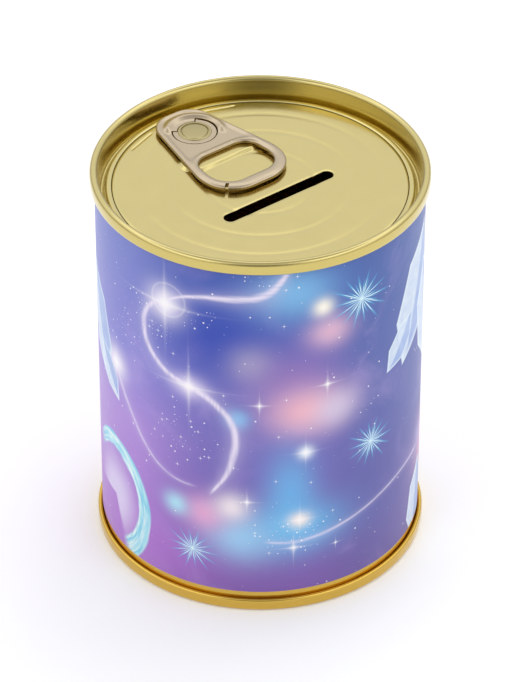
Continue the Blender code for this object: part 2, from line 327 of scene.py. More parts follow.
def subtract(piece, *cutters):
    for cutter in cutters:
        boolean = piece.modifiers.new("Cut", "BOOLEAN")
        boolean.operation = "DIFFERENCE"
        boolean.object = cutter
    apply_modifiers(piece)
    for cutter in cutters:
        bpy.data.objects.remove(cutter)


def finish_piece(piece, body, slot, material, *nodes):
    piece.data.materials.clear()
    piece.data.materials.append(material)
    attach(piece, body)
    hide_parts(*nodes)


# ================================================================ node helpers
class Nodes:
    """Short calls that add shader nodes and link them."""

    def __init__(self, tree):
        self.tree = tree

    def add(self, kind, **settings):
        node = self.tree.nodes.new(kind)
        for key, value in settings.items():
            setattr(node, key, value)
        return node

    def feed(self, socket, value):
        if isinstance(value, bpy.types.NodeSocket):
            self.tree.links.new(value, socket)
        elif hasattr(value, "__len__") and len(value) == 3 and socket.type == "RGBA":
            socket.default_value = (*value, 1)
        else:
            socket.default_value = value

    def math(self, operation, first, second=0.0, third=0.0, clamp=False):
        node = self.add("ShaderNodeMath", operation=operation, use_clamp=clamp)
        for socket, value in zip(node.inputs, (first, second, third)):
            self.feed(socket, value)
        return node.outputs[0]

    def square(self, value):
        return self.math("MULTIPLY", value, value)

    def decay(self, value, rate=1.0):
        """1 where value is 0, dying away as it grows."""
        return self.math("EXPONENT", self.math("MULTIPLY", value, -rate))

    def vector(self, operation, first, second=(0, 0, 0)):
        node = self.add("ShaderNodeVectorMath", operation=operation)
        self.feed(node.inputs[0], first)
        self.feed(node.inputs[1], second)
        return node.outputs["Value" if operation in ("LENGTH", "DOT_PRODUCT") else "Vector"]

    def join(self, x, y, z=0.0):
        node = self.add("ShaderNodeCombineXYZ")
        for socket, value in zip(node.inputs, (x, y, z)):
            self.feed(socket, value)
        return node.outputs[0]

    def split(self, vector):
        axes = ((1, 0, 0), (0, 1, 0), (0, 0, 1))
        return [self.vector("DOT_PRODUCT", vector, axis) for axis in axes]

    def step(self, value, low, high, result=(0.0, 1.0)):
        node = self.add("ShaderNodeMapRange", interpolation_type="SMOOTHSTEP")
        for socket, item in zip(node.inputs, (value, low, high, *result)):
            self.feed(socket, item)
        return node.outputs[0]

    def mix(self, factor, first, second, blend="MIX"):
        node = self.add("ShaderNodeMix", data_type="RGBA", blend_type=blend)
        self.feed(node.inputs[0], factor)
        self.feed(node.inputs[6], first)
        self.feed(node.inputs[7], second)
        return node.outputs[2]

    def noise(self, vector, scale, detail=2.0, roughness=0.5, distortion=0.0):
        node = self.add("ShaderNodeTexNoise")
        self.feed(node.inputs["Vector"], vector)
        self.feed(node.inputs["Scale"], scale)
        self.feed(node.inputs["Detail"], detail)
        self.feed(node.inputs["Roughness"], roughness)
        self.feed(node.inputs["Distortion"], distortion)
        return node.outputs["Fac"]

    def ramp(self, factor, stops):
        node = self.add("ShaderNodeValToRGB")
        self.feed(node.inputs[0], factor)
        elements = node.color_ramp.elements
        while len(elements) < len(stops):
            elements.new(1)
        for element, (position, colour) in zip(elements, stops):
            element.position = position
            element.color = (*colour, 1)
        return node.outputs[0]

    def curve(self, value, points, low, high):
        """A smooth curve through (position, height) points, both in the given range."""
        span = high - low
        position = self.math("MULTIPLY_ADD", value, 1 / span, -low / span)
        node = self.add("ShaderNodeFloatCurve")
        scaled = [((x - low) / span, (y - low) / span) for x, y in points]
        line = node.mapping.curves[0].points
        while len(line) < len(scaled):
            line.new(0.5, 0.5)
        for point, (x, y) in zip(line, scaled):
            point.location = (x, y)
            point.handle_type = "AUTO"
        node.mapping.update()
        self.feed(node.inputs["Value"], position)
        return self.math("MULTIPLY_ADD", node.outputs[0], span, low)


def new_material(name):
    material = bpy.data.materials.new(name)
    material.use_nodes = True
    nodes = Nodes(material.node_tree)
    shader = material.node_tree.nodes["Principled BSDF"]
    return material, nodes, shader


def srgb(red, green, blue):
    """A colour from 0 to 255 values, as the linear values that nodes use."""
    def linear(value):
        value /= 255
        return value / 12.92 if value <= 0.04045 else ((value + 0.055) / 1.055) ** 2.4
    return (linear(red), linear(green), linear(blue))


# ================================================================ metal
def lacquered_metal(name, colour, shaded_side_colour, roughness, coat):
    """Tinplate under a tinted lacquer: fine rolling grain and faint clouding, with the
    roughness and the tint changing a little from place to place. Walls, rolled edges and
    undersides, which face sideways or down, take the side colour, a darker painted shade."""
    variation = 0.06
    grain = 0.02
    material, nodes, shader = new_material(name)
    texture = nodes.add("ShaderNodeTexCoord")
    place = texture.outputs["Object"]
    facing_up = nodes.split(texture.outputs["Normal"])[2]
    # painted shade mask: 1 where the surface faces sideways or down, 0 where it faces up
    side_shade_mask = nodes.step(facing_up, 0.25, 0.92, (1.0, 0.0))
    rolled = nodes.vector("MULTIPLY", place, (900, 6000, 900))
    streaks = nodes.noise(rolled, 1.0, 3.0, 0.6)
    clouds = nodes.noise(place, 140.0, 3.0, 0.55)
    peel = nodes.noise(place, 2600.0, 2.0, 0.5)
    shift = nodes.math("ADD", nodes.math("MULTIPLY", nodes.math("SUBTRACT", clouds, 0.5), 1.3),
                       nodes.math("MULTIPLY", nodes.math("SUBTRACT", streaks, 0.5), 0.5))
    tone = nodes.math("MULTIPLY_ADD", shift, 2 * variation, 0.5, clamp=True)
    dark = tuple(0.80 * channel for channel in colour)
    light = tuple(min(1.0, 1.20 * channel) for channel in colour)
    flat_tint = nodes.mix(tone, dark, light)
    # painted shade: sides and undersides take the darker side colour
    nodes.feed(shader.inputs["Base Color"], nodes.mix(side_shade_mask, flat_tint, shaded_side_colour))
    nodes.feed(shader.inputs["Roughness"],
               nodes.math("MULTIPLY_ADD", clouds, 0.16, roughness - 0.08))
    shader.inputs["Metallic"].default_value = 1.0
    shader.inputs["Coat Weight"].default_value = coat
    shader.inputs["Coat Roughness"].default_value = 0.15
    bump = nodes.add("ShaderNodeBump")
    bump.inputs["Strength"].default_value = grain
    bump.inputs["Distance"].default_value = 0.0002
    height = nodes.math("ADD", nodes.math("MULTIPLY", streaks, 0.6), peel)
    nodes.feed(bump.inputs["Height"], height)
    nodes.feed(shader.inputs["Normal"], bump.outputs[0])
    return material


def compound_material():
    """Grey rubbery compound with a lumpy tone."""
    material, nodes, shader = new_material("sealing_compound")
    place = nodes.add("ShaderNodeTexCoord").outputs["Object"]
    lumps = nodes.noise(place, 1800.0, 3.0)
    nodes.feed(shader.inputs["Base Color"],
               nodes.mix(lumps, srgb(88, 88, 84), srgb(110, 110, 104)))
    shader.inputs["Roughness"].default_value = 0.8
    return material


# ================================================================ printed label
def new_shape_group(name, **extra_inputs):
    """A node group that turns a place on the label into an amount from 0 to 1. Returns
    its nodes, its inputs and the socket for the amount."""
    tree = bpy.data.node_groups.new(name, "ShaderNodeTree")
    inputs = {"Place": "NodeSocketVector", "Centre": "NodeSocketVector", **extra_inputs}
    for socket, kind in inputs.items():
        tree.interface.new_socket(socket, in_out="INPUT", socket_type=kind)
    tree.interface.new_socket("Amount", in_out="OUTPUT", socket_type="NodeSocketFloat")
    nodes = Nodes(tree)
    given = nodes.add("NodeGroupInput").outputs
    result = nodes.add("NodeGroupOutput")
    return nodes, given, result.inputs[0]


def placed(nodes, group, place, middle):
    """One use of a shape group, centred on middle. The caller sets its other inputs."""
    node = nodes.add("ShaderNodeGroup", node_tree=group)
    nodes.feed(node.inputs["Place"], place)
    node.inputs["Centre"].default_value = (*middle, 0)
    return node


def make_glow_group():
    """A soft round spot: 1 at the centre, fading like a bell curve."""
    nodes, given, amount = new_shape_group("glow", Narrowness="NodeSocketVector",
                                           Strength="NodeSocketFloat")
    offset = nodes.vector("MULTIPLY", nodes.vector("SUBTRACT", given[0], given[1]), given[2])
    bell = nodes.decay(nodes.vector("DOT_PRODUCT", offset, offset))
    nodes.feed(amount, nodes.math("MULTIPLY", bell, given[3], clamp=True))
    return nodes.tree


def make_sparkle_group():
    """A four-pointed star with a bright core."""
    nodes, given, amount = new_shape_group("sparkle", Narrowness="NodeSocketFloat")
    offset = nodes.vector("ABSOLUTE", nodes.vector("SUBTRACT", given[0], given[1]))
    across, up, _ = nodes.split(offset)
    across = nodes.math("MULTIPLY", across, given[2])
    up = nodes.math("MULTIPLY", up, given[2])
    pinch = nodes.math("MULTIPLY", nodes.math("MULTIPLY", across, up), 70.0)
    reach = nodes.math("MULTIPLY", nodes.math("ADD", across, up), 2.6)
    core = nodes.math("ADD", nodes.square(across), nodes.square(up))
    rays = nodes.decay(nodes.math("ADD", pinch, reach))
    spot = nodes.decay(core, 55.0)
    nodes.feed(amount, nodes.math("MAXIMUM", rays, spot, clamp=True))
    return nodes.tree


def make_frost_group():
    """A burst of fine ice needles of uneven length."""
    nodes, given, amount = new_shape_group("frost", Radius="NodeSocketFloat")
    offset = nodes.vector("SUBTRACT", given[0], given[1])
    across, up, _ = nodes.split(offset)
    distance = nodes.math("DIVIDE", nodes.vector("LENGTH", offset), given[2])
    angle = nodes.math("ARCTAN2", up, across)
    needles = frost_needles(nodes, distance, angle, 7.0, 0.5, 1.0)
    finer = frost_needles(nodes, distance, angle, 12.0, 1.9, 0.66)
    heart = nodes.decay(distance, 7.0)
    both = nodes.math("MAXIMUM", needles, finer)
    nodes.feed(amount, nodes.math("MAXIMUM", both, heart, clamp=True))
    return nodes.tree


def frost_needles(nodes, distance, angle, count, phase, length):
    """count double-ended needles; each narrows towards its tip, and tips are uneven."""
    turned_angle = nodes.math("MULTIPLY_ADD", angle, count, phase)
    beam = nodes.math("ABSOLUTE", nodes.math("COSINE", turned_angle))
    width = nodes.math("MULTIPLY", nodes.math("SUBTRACT", 1.0, beam),
                       nodes.math("MULTIPLY", distance, 2600.0 / count / count))
    thin = nodes.decay(width)
    wobble = nodes.noise(nodes.join(nodes.math("COSINE", angle), nodes.math("SINE", angle)),
                         2.7 + phase, 1.0)
    tip = nodes.math("MULTIPLY_ADD", wobble, 0.9 * length, 0.45 * length)
    fade = nodes.step(distance, nodes.math("MULTIPLY", tip, 0.35), tip, (1.0, 0.0))
    return nodes.math("MULTIPLY", thin, fade)


GLOWS = [
    # middle (mm right, mm up), spread (mm), colour, strength
    ((-10, 76), (13, 11), (70, 88, 176), 0.85),
    ((8, 88), (9, 7), (152, 202, 240), 0.82),
    ((14.1, 83), (2.4, 2.4), (255, 250, 236), 1.0),
    ((15.8, 76), (5.2, 4.2), (242, 200, 216), 0.80),
    ((-2, 69), (5, 5), (188, 184, 206), 0.60),
    ((7, 65), (11, 8), (165, 130, 185), 0.55),
    ((10.3, 55.5), (8.4, 6.5), (250, 196, 206), 0.92),
    ((17.5, 54.5), (5.5, 5), (226, 216, 236), 0.75),
    ((-5, 54), (2.6, 2.6), (150, 202, 242), 0.80),
    ((7, 33), (6.0, 12), (136, 192, 238), 0.85),
    ((9, 23), (12, 7), (136, 204, 246), 0.88),
    ((-5, 20), (8, 6.5), (176, 222, 250), 0.85),
    ((-13, 26), (5, 5), (236, 182, 216), 0.85),
    ((-6.5, 29), (4, 4), (250, 240, 242), 0.85),
    ((-20, 26.5), (3, 3), (190, 236, 250), 0.90),
    ((9, 25), (2.6, 2.2), (255, 244, 236), 1.0),
    ((10.3, 44), (1.8, 1.8), (240, 248, 255), 1.0),
    ((-22.3, 81.3), (4.6, 4.6), (244, 238, 252), 0.95),
    ((-16.4, 60.8), (4.2, 3.0), (232, 222, 248), 0.80),
    ((-39.4, 56.2), (4, 4), (252, 248, 255), 0.95),
    ((-24, 12), (16, 9), (180, 128, 205), 0.55),
    ((30, 30), (14, 18), (104, 102, 166), 0.55),
]

SPARKLES = [
    # middle (mm right, mm up), reach (mm)
    (-22.3, 81.3, 12.0), (-16.4, 60.8, 10.0), (-39.4, 56.2, 5.0),
    (-0.2, 58.0, 4.0), (15.3, 61.8, 4.5), (-3.0, 30.8, 4.0), (7.6, 17.2, 5.0),
    (10.3, 44.0, 4.6), (9.0, 25.0, 5.0), (14.1, 83.0, 2.4), (17.8, 16.0, 2.2),
]

SMALL_STARS = [
    (8.1, 92.5), (5.6, 89.2), (5.2, 79.5), (18.0, 73.7), (4.1, 49.2), (5.8, 59.3),
    (-11.7, 42.2), (-19.5, 38.0), (-18.5, 46.0), (-23.5, 48.9), (-16.0, 51.2),
    (-14.2, 48.8), (-25.7, 45.2), (-13.7, 41.5), (-32.7, 43.0), (-20.5, 56.5),
    (-20.2, 68.5), (-25.9, 75.0), (-26.7, 73.2), (-24.2, 73.2), (-40.7, 64.0),
    (11.6, 35.2), (3.5, 36.7), (17.0, 25.6), (5.2, 23.7), (2.0, 16.2), (-1.2, 22.0),
    (-8.2, 60.2), (-6.0, 40.3),
]

DUST = [
    # middle (mm right, mm up), spread (mm)
    ((-15, 79), (6, 3)), ((-24, 73.5), (4, 3)), ((-19, 46), (6, 6)), ((-1, 92), (4, 1.5)),
    ((-31, 79), (3, 4)), ((7, 22), (8, 6)), ((-35, 68), (5, 6)),
]

FROST = [
    # middle (mm right, mm up), radius (mm)
    ((23.8, 82.0), 9.5), ((27.3, 41.0), 8.0), ((-15.9, 15.0), 7.5),
]

CRYSTALS = [
    # middle (mm right, mm up), half width and half height (mm), lean (radians)
    ((45.5, 72), (8.0, 18), 0.42), ((37.5, 63), (3.6, 8), 0.75), ((54, 62), (7.0, 16), -0.12),
    ((49, 11), (5.5, 11), 0.25), ((-49, 62), (6.0, 15), -0.35), ((-43, 52), (3.2, 8), -0.65),
]


def ribbon(nodes, along, across, points, low, high, widths, ends):
    """A brush stroke whose middle runs through the points: along is the coordinate that
    only rises, and across the other one. Its width follows widths, and ends is where
    along starts and stops."""
    middle = nodes.curve(along, points, low, high)
    ahead = nodes.curve(nodes.math("ADD", along, 0.5), points, low, high)
    slope = nodes.math("MULTIPLY", nodes.math("SUBTRACT", ahead, middle), 2.0)
    stretch = nodes.math("SQRT", nodes.math("MULTIPLY_ADD", slope, slope, 1.0))
    gap = nodes.math("DIVIDE", nodes.math("ABSOLUTE", nodes.math("SUBTRACT", across, middle)),
                     stretch)
    width = nodes.curve(along, widths, low, high)
    reach = nodes.math("DIVIDE", gap, width)
    core = nodes.decay(nodes.square(reach), 2.2)
    glow = nodes.decay(reach, 0.85)
    wisps = nodes.noise(nodes.join(nodes.math("MULTIPLY", along, 0.12), across), 1.3, 3.0)
    core = nodes.math("MULTIPLY", core, nodes.step(wisps, 0.15, 0.62, (0.55, 1.0)))
    inside = nodes.math("MAXIMUM", core, nodes.math("MULTIPLY", glow, 0.42))
    start = nodes.step(along, ends[0], ends[0] + 3.0)
    stop = nodes.step(along, ends[1] - 3.0, ends[1], (1.0, 0.0))
    return nodes.math("MULTIPLY", inside, nodes.math("MULTIPLY", start, stop))


def label_material():
    material, nodes, shader = new_material("printed_label")
    place = label_place(nodes)
    across, up, _ = nodes.split(place)
    colour = label_ground(nodes, place, across, up)
    colour = add_glows(nodes, colour, place)
    colour = add_ribbons(nodes, colour, across, up)
    colour = add_ice(nodes, colour, place, across, up)
    colour = add_stars(nodes, colour, place)
    richer = nodes.add("ShaderNodeHueSaturation")
    richer.inputs["Saturation"].default_value = 1.18
    nodes.feed(richer.inputs["Color"], colour)
    nodes.feed(shader.inputs["Base Color"], richer.outputs[0])
    shader.inputs["IOR"].default_value = 1.5
    surface = nodes.add("ShaderNodeTexCoord").outputs["Object"]
    fibres = nodes.noise(surface, 1500.0, 3.0, 0.6)
    waves = nodes.noise(surface, 60.0, 2.0)
    nodes.feed(shader.inputs["Roughness"], nodes.math("MULTIPLY_ADD", fibres, 0.12, 0.30))
    bump = nodes.add("ShaderNodeBump")
    bump.inputs["Strength"].default_value = 0.08
    bump.inputs["Distance"].default_value = 0.0002
    nodes.feed(bump.inputs["Height"], nodes.math("MULTIPLY_ADD", waves, 3.0, fibres))
    nodes.feed(shader.inputs["Normal"], bump.outputs[0])
    return material


def label_place(nodes):
    """Millimetres right of the artwork's middle line, and above the table."""
    surface = nodes.add("ShaderNodeTexCoord").outputs["Object"]
    x, y, z = nodes.split(surface)
    cosine = math.cos(ART_TURN)
    sine = math.sin(ART_TURN)
    right = nodes.math("SUBTRACT", nodes.math("MULTIPLY", x, cosine),
                       nodes.math("MULTIPLY", y, sine))
    front = nodes.math("MULTIPLY_ADD", x, -sine, nodes.math("MULTIPLY", y, -cosine))
    angle = nodes.math("ARCTAN2", right, front)
    return nodes.join(nodes.math("MULTIPLY", angle, LABEL_RADIUS / MM),
                      nodes.math("DIVIDE", z, MM))


def label_ground(nodes, place, across, up):
    """Night blue above, violet below, lighter lilac on the left, with soft clouds."""
    height = nodes.math("DIVIDE", up, 97.0)
    middle = nodes.ramp(height, [(0.08, srgb(134, 106, 172)), (0.40, srgb(128, 116, 184)),
                                 (0.65, srgb(122, 122, 190)), (0.88, srgb(88, 104, 176))])
    left = nodes.ramp(height, [(0.08, srgb(178, 132, 206)), (0.45, srgb(178, 150, 216)),
                               (0.65, srgb(146, 144, 212)), (0.92, srgb(130, 138, 202))])
    right = nodes.ramp(height, [(0.08, srgb(116, 104, 162)), (0.45, srgb(108, 114, 174)),
                                (0.65, srgb(100, 112, 172)), (0.92, srgb(90, 110, 170))])
    colour = nodes.mix(nodes.step(across, -34.0, -8.0, (1.0, 0.0)), middle, left)
    colour = nodes.mix(nodes.step(across, 8.0, 30.0), colour, right)
    far_side = nodes.step(nodes.math("ABSOLUTE", across), 60.0, 90.0)
    colour = nodes.mix(far_side, colour, middle)
    clouds = nodes.noise(place, 0.055, 4.0, 0.55, 0.6)
    bright = nodes.step(clouds, 0.50, 0.78, (0.0, 0.32))
    return nodes.mix(bright, colour, srgb(198, 178, 228))


def add_glows(nodes, colour, place):
    group = make_glow_group()
    for middle, spread, tint, strength in GLOWS + far_side_glows():
        node = placed(nodes, group, place, middle)
        node.inputs["Narrowness"].default_value = (1 / spread[0], 1 / spread[1], 0)
        node.inputs["Strength"].default_value = strength
        colour = nodes.mix(node.outputs[0], colour, srgb(*tint))
    return colour


def far_side(across):
    """Millimetres right of the artwork's middle, kept within half a turn of it."""
    half_turn = math.pi * LABEL_RADIUS / MM
    return across if across <= half_turn else across - 2 * half_turn


def far_side_glows():
    """Glows on the half of the label that faces away, spread evenly by the golden ratio."""
    tints = [(128, 184, 236), (238, 178, 202), (184, 214, 242), (222, 216, 244)]
    glows = []
    for index in range(14):
        across = far_side(52 + 128 * ((index * 0.618034) % 1.0))
        up = 12 + 76 * ((index * 0.381966 + 0.2) % 1.0)
        spread = 4 + 5 * ((index * 0.7548) % 1.0)
        glows.append(((across, up), (spread, spread), tints[index % 4], 0.7))
    return glows


def add_ribbons(nodes, colour, across, up):
    """Curling trails of light."""
    strokes = [
        ribbon(nodes, across, up,
               [(-60, 81), (-23, 81.5), (-19.7, 83.8), (-14.2, 85.8), (-4.2, 86.8),
                (-0.5, 87.4), (2.2, 88.8), (4.4, 91.2), (6.4, 94.6), (9.6, 100), (60, 100)],
               -60, 100,
               [(-60, 0.4), (-20, 0.6), (-10, 1.2), (-4, 1.6), (2, 1.6), (6, 1.0), (60, 0.5)],
               (-24.0, 9.0)),
        ribbon(nodes, up, across,
               [(0, -20), (31.5, -11.6), (33, -10.7), (38, -7.7), (44, -6.0), (48.5, -5.5),
                (53, -6.6), (56.5, -9.2), (59.5, -13.2), (61.2, -17.5), (63, -22.2),
                (65.5, -25.2), (68.5, -27.4), (72.5, -28.4), (76.5, -28.0), (80.5, -25.2),
                (84, -20), (100, 0)], -60, 100,
               [(0, 0.4), (32, 0.6), (45, 1.5), (56, 1.3), (61, 1.3), (68, 1.1), (75, 1.2),
                (80, 1.0), (100, 0.5)],
               (31.0, 82.5)),
        ribbon(nodes, across, up,
               [(-60, 90), (-40, 57), (-36.7, 51), (-32.7, 45), (-28.7, 39.5), (-24.2, 35.5),
                (-19.2, 33.5), (-15, 33.2), (60, 33)], -60, 100,
               [(-60, 0.4), (-38, 0.9), (-30, 0.7), (-15, 0.35), (60, 0.3)],
               (-40.0, -14.0)),
        ribbon(nodes, across, up,
               [(-60, 30), (0, 19.5), (7.8, 18.8), (13.8, 19.6), (19.8, 21), (25.8, 22.6),
                (32.8, 24.5), (40, 25.8), (48, 26), (60, 25)], -60, 100,
               [(-60, 0.4), (0, 0.4), (12, 0.8), (25, 0.5), (40, 0.5), (60, 0.4)],
               (0.0, 50.0)),
    ]
    for stroke, strength in zip(strokes, (0.95, 0.95, 0.60, 0.65)):
        soft = nodes.math("MULTIPLY", stroke, strength)
        colour = nodes.mix(soft, colour, srgb(240, 232, 250))
    return colour


def add_ice(nodes, colour, place, across, up):
    """A curl of ice on the left, ice crystals at both sides, and the frost bursts."""
    colour = add_ice_curl(nodes, colour, across, up)
    for middle, size, lean in CRYSTALS:
        colour = add_crystal(nodes, colour, place, middle, size, lean)
    group = make_frost_group()
    for middle, radius in FROST:
        node = placed(nodes, group, place, middle)
        node.inputs["Radius"].default_value = radius
        amount = node.outputs[0]
        bright = nodes.step(amount, 0.55, 1.0)
        colour = nodes.mix(amount, colour, srgb(128, 205, 240))
        colour = nodes.mix(bright, colour, srgb(236, 250, 255))
    return colour


def add_ice_curl(nodes, colour, across, up):
    """An arc of streaked ice with a pale haze inside it."""
    x = nodes.math("DIVIDE", nodes.math("ADD", across, 41.0), 12.6)
    y = nodes.math("DIVIDE", nodes.math("SUBTRACT", up, 17.5), 16.0)
    distance = nodes.math("SQRT", nodes.math("ADD", nodes.square(x), nodes.square(y)))
    angle = nodes.math("ARCTAN2", y, x)
    grain = nodes.noise(nodes.join(nodes.math("MULTIPLY", distance, 9.0), angle), 1.6, 4.0, 0.6)
    edge = nodes.math("MULTIPLY_ADD", nodes.math("SUBTRACT", grain, 0.5), 0.16, distance)
    outer = nodes.step(edge, 1.04, 1.10, (1.0, 0.0))
    thick = nodes.step(angle, -0.9, 0.9, (0.34, 0.20))
    inner_edge = nodes.math("SUBTRACT", 1.0, thick)
    inner = nodes.step(edge, inner_edge, nodes.math("ADD", inner_edge, 0.07))
    upper = nodes.step(angle, -1.25, -0.95)
    stop = nodes.step(angle, 2.1, 2.6, (1.0, 0.0))
    band = nodes.math("MULTIPLY", nodes.math("MULTIPLY", outer, inner),
                      nodes.math("MULTIPLY", upper, stop))
    ice = nodes.ramp(grain, [(0.30, srgb(122, 196, 228)), (0.48, srgb(178, 228, 242)),
                             (0.66, srgb(240, 252, 252))])
    within = nodes.math("MULTIPLY", nodes.step(distance, 0.2, 0.9, (0.75, 0.0)), upper)
    colour = nodes.mix(within, colour, srgb(232, 226, 248))
    return nodes.mix(band, colour, ice)


def add_crystal(nodes, colour, place, middle, size, lean):
    """A long six-sided crystal with a lit side, a shaded side and a bright edge."""
    offset = nodes.vector("SUBTRACT", place, (*middle, 0))
    x, y, _ = nodes.split(offset)
    cosine = math.cos(lean)
    sine = math.sin(lean)
    u = nodes.math("SUBTRACT", nodes.math("MULTIPLY", x, cosine / size[0]),
                   nodes.math("MULTIPLY", y, sine / size[0]))
    v = nodes.math("ADD", nodes.math("MULTIPLY", x, sine / size[1]),
                   nodes.math("MULTIPLY", y, cosine / size[1]))
    wide = nodes.math("ABSOLUTE", u)
    tall = nodes.math("ABSOLUTE", v)
    point = nodes.math("ADD", nodes.math("MULTIPLY", wide, 0.6), tall)
    reach = nodes.math("MAXIMUM", wide, point)
    inside = nodes.step(reach, 0.95, 1.0, (1.0, 0.0))
    facet = nodes.step(nodes.math("ADD", u, nodes.math("MULTIPLY", v, 0.12)), -0.06, 0.06)
    frost = nodes.noise(place, 0.35, 3.0, 0.6)
    lit = nodes.mix(frost, srgb(196, 214, 242), srgb(238, 246, 252))
    shaded = nodes.mix(frost, srgb(150, 172, 224), srgb(196, 212, 240))
    face = nodes.mix(facet, lit, shaded)
    rim = nodes.math("MULTIPLY", nodes.step(reach, 0.80, 0.96), 0.7)
    face = nodes.mix(rim, face, srgb(240, 250, 255))
    return nodes.mix(nodes.math("MULTIPLY", inside, 0.92), colour, face)


def add_stars(nodes, colour, place):
    sparkle = make_sparkle_group()
    white = srgb(255, 252, 255)
    stars = SPARKLES + [(x, y, 1.1) for x, y in SMALL_STARS] + far_side_stars()
    light = 0.0
    for x, y, reach in stars:
        node = placed(nodes, sparkle, place, (x, y))
        node.inputs["Narrowness"].default_value = 1 / reach
        light = nodes.math("MAXIMUM", light, node.outputs[0])
    colour = nodes.mix(star_halo(nodes, place), colour, white)
    colour = nodes.mix(light, colour, white)
    return nodes.mix(star_dust(nodes, place), colour, white)


def far_side_stars():
    """Stars on the half of the label that faces away."""
    stars = []
    for index in range(12):
        across = far_side(55 + 120 * ((index * 0.618034 + 0.3) % 1.0))
        up = 12 + 76 * ((index * 0.7548) % 1.0)
        stars.append((across, up, 1.2 + 5 * (index % 3 == 0)))
    return stars


def star_halo(nodes, place):
    """A faint thin ring beside the brightest star."""
    offset = nodes.vector("SUBTRACT", place, (-21.4, 82.6, 0))
    gap = nodes.math("SUBTRACT", nodes.vector("LENGTH", offset), 4.3)
    return nodes.math("MULTIPLY", nodes.decay(nodes.square(gap), 14.0), 0.22)


def star_dust(nodes, place):
    """Fine specks, thick in a few drifts and thin elsewhere."""
    cells = nodes.add("ShaderNodeTexVoronoi", voronoi_dimensions="2D", feature="F1")
    nodes.feed(cells.inputs["Vector"], place)
    cells.inputs["Scale"].default_value = 0.95
    size, keep, _ = nodes.split(cells.outputs["Color"])
    radius = nodes.math("MULTIPLY_ADD", nodes.math("POWER", size, 3.0), 0.20, 0.07)
    speck = nodes.step(cells.outputs["Distance"], nodes.math("MULTIPLY", radius, 0.5), radius,
                       (1.0, 0.0))
    group = make_glow_group()
    drift = 0.03
    for middle, spread in DUST:
        node = placed(nodes, group, place, middle)
        node.inputs["Narrowness"].default_value = (1 / spread[0], 1 / spread[1], 0)
        node.inputs["Strength"].default_value = 0.55
        drift = nodes.math("MAXIMUM", drift, node.outputs[0])
    kept = nodes.math("LESS_THAN", keep, drift)
    return nodes.math("MULTIPLY", speck, kept)


# ================================================================ can body, label and ends
def seam_profile():
    """An end's plate through the top seam: cover hook, seam wall, crest, chuck wall."""
    hook_tip = [(COVER_HOOK_R, BODY_BEND_Z - 0.15 * MM)]
    fold = arc((BODY_HOOK_R, FOLD_Z), LAYER, 180, 360, 12)
    crest = arc((COVER_HOOK_R, CREST_Z), CREST_R, 0, 180, 18)
    return hook_tip + fold + crest


def countersink_profile():
    """An end's plate from the chuck wall through the groove and up to the panel."""
    groove_z = RING_LOW.z + HALF_PLATE + GROOVE_BEND
    groove = arc((GROOVE_R, groove_z), GROOVE_BEND, 0, -180, 14)
    shoulder = arc((SHOULDER_R, PANEL_MID - 0.4 * MM), 0.4 * MM, 0, 90, 6)
    return groove + shoulder


def flipped(points):
    """The same profile for the other end of the can."""
    return [(r, CAN_HEIGHT - z) for r, z in points]


def build_lid_ring(material):
    """The fixed part of the lid, from the cover hook to the score line."""
    edge = PANEL_RADIUS + SCORE_GAP
    line = seam_profile() + countersink_profile()
    line += [(edge + 0.25 * MM, PANEL_MID), (edge, PANEL_MID - 0.10 * MM)]
    ring = turned("lid_ring", line)
    make_sheet(ring)
    finish_piece(ring, "can", "gold_lacquer", material, "top_end_ring")


def build_base_end(material):
    """The base has two shallow expansion beads, seen from below."""
    line = seam_profile() + countersink_profile()
    for radius, rise in ((26 * MM, -0.5 * MM), (16 * MM, -0.5 * MM)):
        line += [(radius + 1.6 * MM, PANEL_MID), (radius + 0.9 * MM, PANEL_MID + 0.8 * rise),
                 (radius, PANEL_MID + rise), (radius - 0.9 * MM, PANEL_MID + 0.8 * rise),
                 (radius - 1.6 * MM, PANEL_MID)]
    line.append((0.0, PANEL_MID))
    base = turned("base_end", flipped(line))
    make_sheet(base)
    finish_piece(base, "can", "deep_gold", material, "bottom_end")


def build_body(material):
    """The cylinder, with a hook turned over inside each seam."""
    top = [(BODY_HOOK_R, FOLD_Z + 0.32 * MM)]
    top += arc((COVER_HOOK_R, BODY_BEND_Z), LAYER, 0, 180, 12)
    body = turned("can_body", top + flipped(reversed(top)))
    make_sheet(body)
    finish_piece(body, "can", "deep_gold", material, "body_shell")


def build_label(material):
    """A strip wrapped once round the body, with its end lapped over its start at the back."""
    lap = math.radians(9)
    lap_start = math.pi / 2 - ART_TURN - lap / 2
    columns = 288
    rows = 4
    thickness = 0.08 * MM
    inner_radius = LABEL_RADIUS - thickness / 2
    shape = bmesh.new()
    grid = []
    for column in range(columns + 1):
        turn = (2 * math.pi + lap) * column / columns
        angle = lap_start + turn
        lift = 0.10 * MM * smooth_step(turn, 2 * math.pi - 0.02, 2 * math.pi + 0.01)
        radius = inner_radius + lift
        line = []
        for row in range(rows + 1):
            height = LABEL_LOW.z + (LABEL_HIGH.z - LABEL_LOW.z) * row / rows
            line.append(shape.verts.new((radius * math.cos(angle),
                                         radius * math.sin(angle), height)))
        grid.append(line)
    for near, far in zip(grid, grid[1:]):
        for row in range(rows):
            shape.faces.new((near[row], far[row], far[row + 1], near[row + 1]))
    mesh = bpy.data.meshes.new("label")
    shape.to_mesh(mesh)
    shape.free()
    label = add_object("label", mesh)
    make_sheet(label, thickness)
    finish_piece(label, "can", "printed_label", material, "label_wrap")


# ================================================================ lid panel
def oblong_distance(x, y, half_length, radius):
    """Distance outside an oblong that lies along X; negative inside."""
    return math.hypot(max(abs(x) - half_length + radius, 0.0), y) - radius


def bead(distance, half_width):
    """A smooth bump: 1 in the middle, falling away to each side."""
    return math.exp(-(distance / half_width) ** 2)


